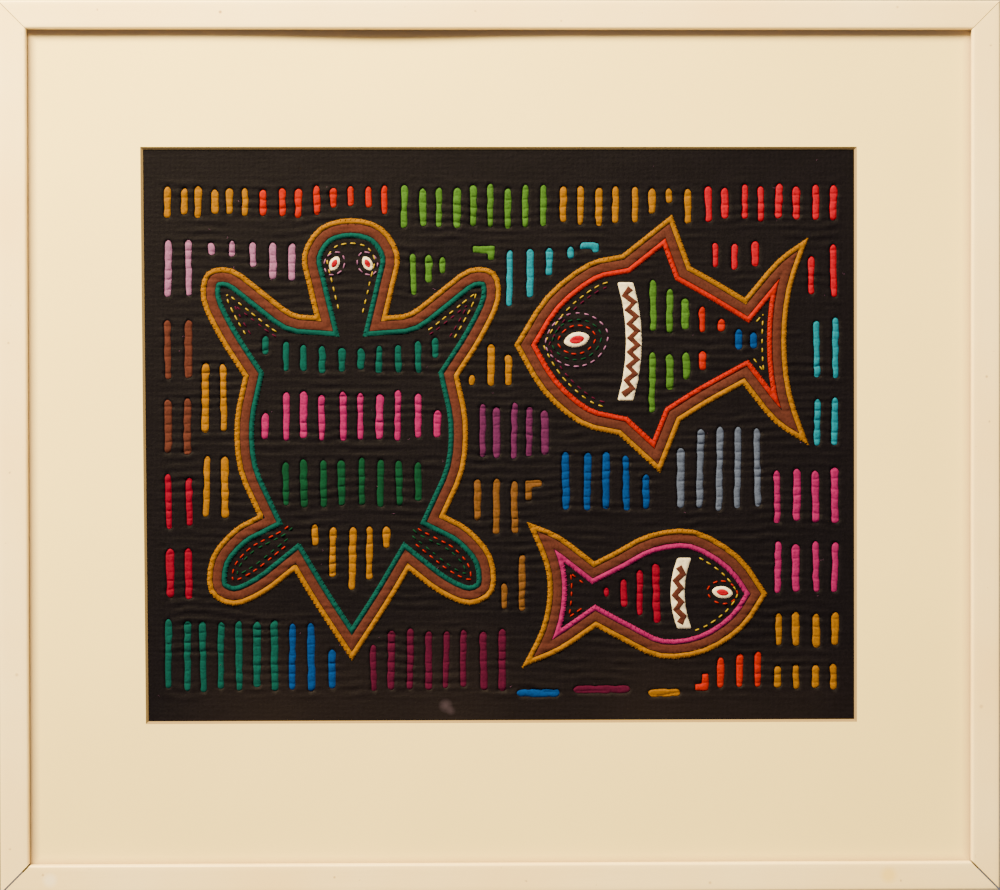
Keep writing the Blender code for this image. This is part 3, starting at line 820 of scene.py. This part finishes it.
def near_loop(points, loop, reach):
    return np.all((points > loop.min(axis=0) - reach) & (points < loop.max(axis=0) + reach), axis=1)


def hem(away):
    """The turned edge of a slot: a roll that dips steeply at the edge and puffs just outside it."""
    return 0.08 * np.exp(-(((away - 1.5) / 0.9) ** 2)) - 0.6 * np.exp(-((away / 0.45) ** 2))


COARSE_STEP = 6
FINE_STEP = 1.75
CLOTH_X, CLOTH_Z = 219, 179  # just inside the cloth's own edge
hidden = honeycomb(-CLOTH_X, CLOTH_X, -CLOTH_Z, CLOTH_Z, COARSE_STEP)
hidden = hidden[np.any(np.abs(hidden) > (SEEN_X + 2, SEEN_Z + 2), axis=1)]
seen = honeycomb(-SEEN_X, SEEN_X, -SEEN_Z, SEEN_Z, FINE_STEP)
inside_slot = np.zeros(len(seen), bool)
for loop in slot_loops:
    near = np.flatnonzero(near_loop(seen, loop, SLOT_CLEAR))
    inside_slot[near] |= measure(seen[near], loop)[0] > -SLOT_CLEAR
rings = [grown(loop, reach) for loop in slot_loops for reach in HEM_RINGS]
inner_points = np.concatenate([hidden, seen[~inside_slot], *rings])
spread, faces = fill(along(ground_edge, COARSE_STEP), slot_loops, inner_points)
height = ground_height(*spread.T)
for loop in slot_loops:
    near = np.flatnonzero(near_loop(spread, loop, HEM_REACH))
    height[near] += hem(-np.minimum(measure(spread[near], loop)[0], 0))
ground = add_piece("black_ground", lifted(spread, height), faces, [dyed["black"]])
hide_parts("mola_cloth")
print("ground triangles:", len(faces))

# %% [markdown]
# ## The colours in the slots
# Behind each group of slots lies one piece of coloured cotton. It swells through the slots in
# soft bars, and the puckers pinch the bars crosswise in dark creases. Each patch is one sheet:
# flat behind the ground, and raised inside the slots by the distance from their edges.
# %% Patches
PATCH_BACK = -1.35
BAR_EDGE = -0.4
BAR_CROWN = 0.0
CREASE_DEPTH = 0.52
CREASE_WIDTH = 0.19  # as a share of the pucker's wave
BAR_STEP = 0.6
PATCH_STEP = 4


def bar_height(x, z, inside):
    rise = np.sin(math.pi / 2 * np.clip(inside / 1.2, 0, 1)) ** 0.7
    bar = BAR_EDGE + (BAR_CROWN - BAR_EDGE) * rise
    behind = PATCH_BACK + (BAR_EDGE - PATCH_BACK) * np.exp(-((inside / 0.5) ** 2))
    creases = np.exp(-((pucker_phase(x, z) / CREASE_WIDTH) ** 2))
    creases = creases * np.clip(0.42 + 1.1 * soft_noise(x, z, 7, 8), 0, 1.2)
    height = np.where(inside > 0, bar - CREASE_DEPTH * creases * np.clip(inside / 0.7, 0, 1), behind)
    return height + 0.75 * ground_height(x, z)


for name in [n for n in frame["nodes"] if n.startswith("patch_")]:
    low, high = (np.array(corner)[[0, 2]] / MM - (0, middle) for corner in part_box(name))
    mine = [loop for loop in slot_loops if np.all((loop.mean(axis=0) > low) & (loop.mean(axis=0) < high))]
    fine = []
    for loop in mine:
        cells = cells_over(loop, BAR_STEP, margin=0.8)
        depth = measure(cells, loop)[0]
        fine += [cells[(np.abs(depth) > CLEAR) & (depth > -0.9)], loop]
    edge = along(rectangle(low[0], high[0], low[1], high[1]), PATCH_STEP)
    spread, faces = fill(edge, [], np.concatenate(fine))
    inside = np.full(len(spread), -9.0)
    for loop in mine:
        near = np.flatnonzero(near_loop(spread, loop, 1.5))
        inside[near] = np.maximum(inside[near], measure(spread[near], loop)[0])
    points = lifted(spread, bar_height(*spread.T, inside))
    colour = slot_of_node[name]
    patch = add_piece(name.replace("patch", "bars"), points, faces, [dyed[colour]])
    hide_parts(name)

# %% [markdown]
# ## The strips
# Each figure is drawn with three strips, their edges turned under and whipped down with slanting
# stitches that pinch them every 3 mm, so the narrow ones look like cord. The wide brown one lies
# between them, lower and flatter. Again a sheet of triangles takes its height from the distance
# to the strip's edges, and the stitches from how far round the strip a point lies.
# %% Strips
WHIP_PITCH = 2.9
WHIP_SLANT = 0.55
FOLLOW = 0.6  # what sewn-on cloth keeps of the ground's puckers
WIDE_FROM = 4  # mm
PINCH_WIDTH = 0.42
PINCH_IN = 0.07  # mm that a stitch draws the edge in
STRIP_STEPS = {"narrow": 0.72, "wide": 0.95}
STRIP_LOOKS = {
    # kind: height at the edges, at the crown, pinch of the stitches
    "narrow": (0.10, 0.92, 0.26),
    "wide": (0.25, 0.72, 0.10),
}


def strip_profile(kind, x, z, outer_depth, width, place):
    """Height of a strip over the ground's plane, and how strongly a stitch pinches it there."""
    edge, crown, pinch = STRIP_LOOKS[kind]
    share = np.clip(outer_depth / width, 0, 1)
    dome = np.sin(math.pi * share) ** 0.55
    turn = (place + WHIP_SLANT * outer_depth) / WHIP_PITCH
    pinched = np.exp(-((np.sin(math.pi * turn) / PINCH_WIDTH) ** 2))
    wrinkle = 0.08 * soft_noise(x, z, 3.1, 11) * (kind == "wide")
    relief = (crown - edge) * dome * (1 - pinch * pinched)
    return edge + relief + wrinkle + FOLLOW * ground_height(x, z), pinched


stitched_edges = []
for name in [n for n in frame["nodes"] if n.endswith("_band")]:
    outer, inner = (along(anticlockwise(loop), 0.9) for loop in front_loops(name)[:2])
    width = np.median(measure(inner, outer)[0])
    kind = "wide" if width > WIDE_FROM else "narrow"
    cells = cells_over(outer, STRIP_STEPS[kind])
    cells = cells[inside_loop(cells, outer) & ~inside_loop(cells, inner)]
    cells = cells[(measure(cells, outer)[0] > CLEAR) & (measure(cells, inner)[0] < -CLEAR)]
    spread, faces = fill(outer, [inner], cells)
    depth, place, inward = measure(spread, outer)
    height, pinched = strip_profile(kind, *spread.T, depth, width, place)
    if kind == "narrow":
        drawn_in = PINCH_IN * pinched * (1 - 2 * np.clip(depth / width, 0, 1))
        spread = spread + inward * drawn_in[:, None]
    colour = slot_of_node[name]
    strip = add_piece(name.replace("band", "strip"), lifted(spread, height), faces, [dyed[colour]])
    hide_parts(name)
    if kind == "narrow":
        stitched_edges.append((colour, outer if colour == "gold" else inner, colour == "gold", name))


# %% [markdown]
# ## Thread
# Whip stitches hold the strips, and running stitches draw rings and rows on the black ground.
# A stitch is a short piece of two-ply thread that comes up through the cloth, lies on it and
# goes down again: a small tube, low at its ends. The stitches of a strip's edge are one mesh,
# and so are the running stitches of one colour.
# %% Thread tubes
SIDES = 6
WHIP_RADIUS, DASH_RADIUS, LINT_RADIUS = 0.16, 0.42, 0.05  # mm; sewing thread, doubled thread, fibre


def add_thread(name, paths, radius, colour):
    """Joined tubes along paths, an array of stitches by points by x, y, z in mm."""
    paths = np.asarray(paths, float)
    stitches, steps, _ = paths.shape
    run = paths[:, -1] - paths[:, 0]
    run /= np.linalg.norm(run, axis=1)[:, None]
    up = np.array([0, -1.0, 0])
    across = np.cross(run, up)
    across /= np.linalg.norm(across, axis=1)[:, None]
    angles = np.linspace(0, 2 * math.pi, SIDES, endpoint=False)
    taper = np.interp(np.linspace(0, 1, steps), (0, 0.25, 0.75, 1), (0.55, 1, 1, 0.55)) * radius
    cosine, sine = (wave(angles)[None, None, :, None] for wave in (np.cos, np.sin))
    around = across[:, None, None] * cosine + up * sine
    points = paths[:, :, None] + around * taper[None, :, None, None]
    index = np.arange(stitches * steps * SIDES).reshape(stitches, steps, SIDES)
    turned = np.roll(index, -1, axis=2)
    corners = (index[:, :-1], turned[:, :-1], turned[:, 1:], index[:, 1:])
    faces = np.stack([corner.reshape(-1) for corner in corners], axis=1)
    piece = add_piece(name, points.reshape(-1, 3), faces, [dyed[colour]])
    return piece


print("a thread has", SIDES, "sides")


# %% Whip stitches
STRAY = 0.25  # mm; how far a hand-sewn stitch begins from its even place
WHIP_COURSE = ((-0.4, -0.2), (-0.1, 0.2), (0.35, 0.75), (0.85, 1.0), (1.15, 0.75))  # mm in and up
for colour, edge, outside, name in stitched_edges:
    closed = np.concatenate([edge, edge[:1]])
    rng = np.random.default_rng(len(name))
    spots = np.arange(0.5 * WHIP_PITCH, run_along(closed)[-1] - 1.0, WHIP_PITCH)
    spots = spots + rng.uniform(-STRAY, STRAY, len(spots))
    on_edge = places_at(spots, closed)
    ahead = places_at(spots + 0.5, closed) - on_edge
    inward = leftwards(ahead) * (1 if outside else -1)
    ahead /= np.hypot(*ahead.T)[:, None]
    paths = []
    for reach, rise in WHIP_COURSE:
        place = on_edge + inward * reach + ahead * reach * 0.5
        lift = rise + FOLLOW * ground_height(*place.T)
        paths.append(lifted(place, lift))
    add_thread(name.replace("band", "whipping"), np.stack(paths, axis=1), WHIP_RADIUS, colour)

# %% [markdown]
# ## Eyes and gills
# The eyes are white ovals with a red centre, and a white strip with a brown zigzag crosses each
# fish behind its eye. They are small pieces of cotton sewn on, each swollen a little between
# its edges, so each is a sheet whose height grows from its own edge.
# %% Sewn-on pieces
def sewn_piece(name, loop, base, crown, shoulder, colour, step=0.7):
    """A small piece of cloth sewn down along its edge: base and crown are heights in mm."""
    loop = along(anticlockwise(loop), step)
    cells = cells_over(loop, step)
    spread, faces = fill(loop, [], cells[measure(cells, loop)[0] > CLEAR])
    depth = np.clip(measure(spread, loop)[0] / shoulder, 0, 1)
    height = base + (crown - base) * np.sin(math.pi / 2 * depth) ** 0.7 + FOLLOW * ground_height(*spread.T)
    piece = add_piece(name, lifted(spread, height), faces, [dyed[colour]])
    return piece


def oval(x, z, long_half, short_half, turn, count=28):
    """A pointed oval, like an eye."""
    angle = np.linspace(0, 2 * math.pi, count, endpoint=False)
    u = long_half * np.cos(angle)
    v = short_half * np.sign(np.sin(angle)) * np.abs(np.sin(angle)) ** 1.25
    cosine, sine = math.cos(math.radians(turn)), math.sin(math.radians(turn))
    return np.stack([x + u * cosine - v * sine, z + u * sine + v * cosine], axis=1)


EYES = [
    # name, x, z, half length, half height, turn
    ("big_fish_eye", 44, 55, 7.4, 4.3, 12),
    ("small_fish_eye", 128, -91, 6.0, 3.5, -10),
    ("turtle_left_eye", -95.5, 99, 4.4, 2.8, 62),
    ("turtle_right_eye", -76.5, 99, 4.4, 2.8, -62),
]
trims = []
for name, x, z, long_half, short_half, turn in EYES:
    white = sewn_piece(f"{name}_white", oval(x, z, long_half, short_half, turn), 0.1, 0.75, 1.2, "white")
    if name in frame["nodes"]:
        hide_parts(name)
    red = oval(x, z, long_half * 0.6, short_half * 0.55, turn)
    trims += [white, sewn_piece(f"{name}_red", red, 0.75, 1.2, 0.9, "red", 0.5)]


def ribbon(line, width):
    """The outline of a ribbon of that width along a line of points."""
    side = leftwards(np.gradient(line, axis=0)) * width / 2
    return np.concatenate([line + side, (line - side)[::-1]])


GILL_MARGIN = 2.2
ZIGZAG_WIDTH = 4.0  # measured across the gill; the line itself is narrower, because it slants
ZIGZAG_FOOT, ZIGZAG_TOP, ZIGZAG_STEP = 3.2, 2.4, 4.1  # mm: left free at the foot and top, and one turn
for name in [n for n in frame["nodes"] if n.endswith("_gill")]:
    loop = front_loops(name)[0]
    white = sewn_piece(f"{name}_white", rounded(anticlockwise(loop), 1.2), 0.1, 0.7, 1.0, "white", 0.9)
    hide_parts(name)
    top, foot = loop[:, 1].max(), loop[:, 1].min()
    crossings = []
    for number, level in enumerate(np.arange(foot + ZIGZAG_FOOT, top - ZIGZAG_TOP, ZIGZAG_STEP)):
        x = np.arange(loop[:, 0].min(), loop[:, 0].max(), 0.1)
        row = np.stack([x, np.full_like(x, level)], axis=1)
        across = row[inside_loop(row, loop), 0]
        centre, half = (across.min() + across.max()) / 2, (across.max() - across.min()) / 2
        crossings.append((centre + (1 if number % 2 else -1) * (half - GILL_MARGIN), level))
    outline = ribbon(np.array(crossings), ZIGZAG_WIDTH)
    zigzag = sewn_piece(f"{name}_zigzag", outline, 0.8, 1.15, 0.8, "brown", 0.5)
    trims += [white, zigzag]
print("sewn-on pieces:", len(trims))


# %% [markdown]
# ## Running stitches
# Rings of running stitches circle the eyes, and rows follow the strips inside heads, tails and
# flippers. A dash is 3 mm of thread and the gap after it 2 mm. The paths are ovals, or the
# strip's inner edge moved inwards, and only the part in the wanted place is sewn.
# %% Running stitches
DASH = 3.1
REST = 2.1
BREAK = 6  # mm between points, where a row ends
FEWEST = 5  # points in a row worth sewing
DASH_COURSE = (-0.3, 0.12, 0.3, 0.12, -0.3)  # mm above the ground, end to end


def dashes(path, closed, colour, rng):
    """Stitches along a path, each with its two ends, as colour and points."""
    if closed:
        path = np.concatenate([path, path[:1]])
    whole = run_along(path)[-1]
    count = max(1, round(whole / (DASH + REST)))
    pitch = whole / count
    found = []
    for i in range(count):
        start = i * pitch + rng.uniform(-STRAY, STRAY)
        end = start + DASH * rng.uniform(0.85, 1.1)
        if closed:
            start, end = start % whole, end % whole
        found.append((colour, places_at((start, end), path)))
    return found


def moved_in(loop, distance):
    """The loop moved inwards, without the points that would come nearer than that."""
    loop = along(loop, 1.5)
    moved = loop + distance * leftwards(neighbours_apart(loop))
    return moved[measure(moved, loop)[0] > distance - 0.25]


def stretches(path, wanted):
    """The parts of a closed path whose points are wanted, each as a path of its own."""
    first = int(np.argmin(wanted))
    numbers = np.flatnonzero(np.roll(wanted, -first))
    kept = np.roll(path, -first, axis=0)[numbers]
    broken = (np.diff(numbers) > 1) | (np.hypot(*np.diff(kept, axis=0).T) >= BREAK)
    return [part for part in np.split(kept, np.flatnonzero(broken) + 1) if len(part) >= FEWEST]


RINGS = [
    # eye, half length, half height, colour
    ("big_fish_eye", 11.2, 8.2, "orange"),
    ("big_fish_eye", 14.6, 11.6, "green"),
    ("big_fish_eye", 18.4, 15.4, "lilac"),
    ("small_fish_eye", 9.0, 6.6, "orange"),
    ("turtle_left_eye", 7.2, 5.8, "lilac"),
    ("turtle_right_eye", 7.2, 5.8, "lilac"),
]
ROWS = [
    # strip, distance from its inner edge, colour, left, right, foot, top
    ("big_fish_orange_band", 3.2, "yellow", 5, 62, -30, 120),
    ("big_fish_orange_band", 5.8, "wine", 5, 62, -30, 120),
    ("big_fish_orange_band", 2.9, "yellow", 146, 190, -10, 120),
    ("small_fish_pink_band", 2.9, "yellow", 112, 150, -140, -40),
    ("small_fish_pink_band", 2.7, "orange", 20, 48, -140, -40),
    ("turtle_teal_band", 3.2, "yellow", -110, -62, 70, 130),
    ("turtle_teal_band", 3.2, "yellow", -175, -128, 56, 110),
    ("turtle_teal_band", 5.7, "wine", -175, -124, 56, 110),
    ("turtle_teal_band", 3.2, "yellow", -44, 3, 56, 110),
    ("turtle_teal_band", 5.7, "wine", -48, 3, 56, 110),
    ("turtle_teal_band", 3.2, "orange", -175, -122, -100, -52),
    ("turtle_teal_band", 5.7, "green", -175, -120, -100, -52),
    ("turtle_teal_band", 3.2, "orange", -50, 3, -100, -52),
    ("turtle_teal_band", 5.7, "green", -52, 3, -100, -52),
]
rng = np.random.default_rng(5)
found = []
eye_places = {name: (x, z, turn) for name, x, z, _, _, turn in EYES}
for name, long_half, short_half, colour in RINGS:
    x, z, turn = eye_places[name]
    found += dashes(oval(x, z, long_half, short_half, turn, count=60), True, colour, rng)
for name, distance, colour, left, right, foot, top in ROWS:
    path = moved_in(anticlockwise(front_loops(name)[1]), distance)
    x, z = path.T
    for part in stretches(path, (x > left) & (x < right) & (z > foot) & (z < top)):
        found += dashes(part, False, colour, rng)
by_colour = {}
for colour, ends in found:
    shares = np.array([0, 0.2, 0.5, 0.8, 1])[:, None]
    line = ends[0] + (ends[1] - ends[0]) * shares
    lift = ground_height(*line.T) + DASH_COURSE
    by_colour.setdefault(colour, []).append(lifted(line, lift))
for colour, paths in by_colour.items():
    add_thread(f"running_stitches_{colour}", paths, DASH_RADIUS, colour)
print("running stitches:", len(found))

# %% [markdown]
# ## Lint
# Black cotton shows every stray fibre. A few dozen short pale ones lie all over it, thin as hair
# and at all angles.
# %% Lint
FIBRES = 60
rng = np.random.default_rng(12)
fibres = []
for _ in range(FIBRES):
    x, z = rng.uniform(-200, 200), rng.uniform(-160, 160)
    angle, length = rng.uniform(0, math.pi), rng.uniform(0.5, 1.8)
    run = np.array([math.cos(angle), math.sin(angle)]) * length / 2
    line = np.array([(x, z)] * 5) + np.linspace(-1, 1, 5)[:, None] * run + rng.normal(0, 0.08, (5, 2))
    fibres.append(lifted(line, ground_height(*line.T) + 0.12))
lint = add_thread("lint", fibres, LINT_RADIUS, "lilac")
print("fibres:", len(fibres))

# %% [markdown]
# ## How the cloth is held
# The panel is stretched flat on the board and held by the mat round its edge. Its flat size,
# the size of the solid's own front, is printed.
# %% Cloth facts
print("flat cloth (mm):", (cloth_high - cloth_low).round(1)[[0, 2]])

# %% [markdown]
# ## A floor for the other views
# From the side a floor shows. It is plain and pale, and lies so far below the hanging frame that
# the light it throws back doesn't fill the shadow of the lip.
# %% Floor
FLOOR_LEVEL = -1.55
FLOOR_REACH = 6
corners = [(x * FLOOR_REACH, y * FLOOR_REACH, FLOOR_LEVEL) for x, y in ((-1, -1), (1, -1), (1, 1), (-1, 1))]
mesh = bpy.data.meshes.new("floor")
mesh.from_pydata(corners, [], [(0, 1, 2, 3)])
floor = in_scene("floor", mesh)
material, _, shader = new_material("pale_floor", 0.8)
shader.inputs["Base Color"].default_value = linear("#E6E2DC")
mesh.materials.append(material)
print("the floor is", -FLOOR_LEVEL, "m below the hanging point")

# %% [markdown]
# ## Sizes at the end
# The box of the solids is printed. The dressed frame has to keep the size of its
# solids.
# %% Sizes and end
print("cad", [round(v, 4) for c in cad_box for v in c])
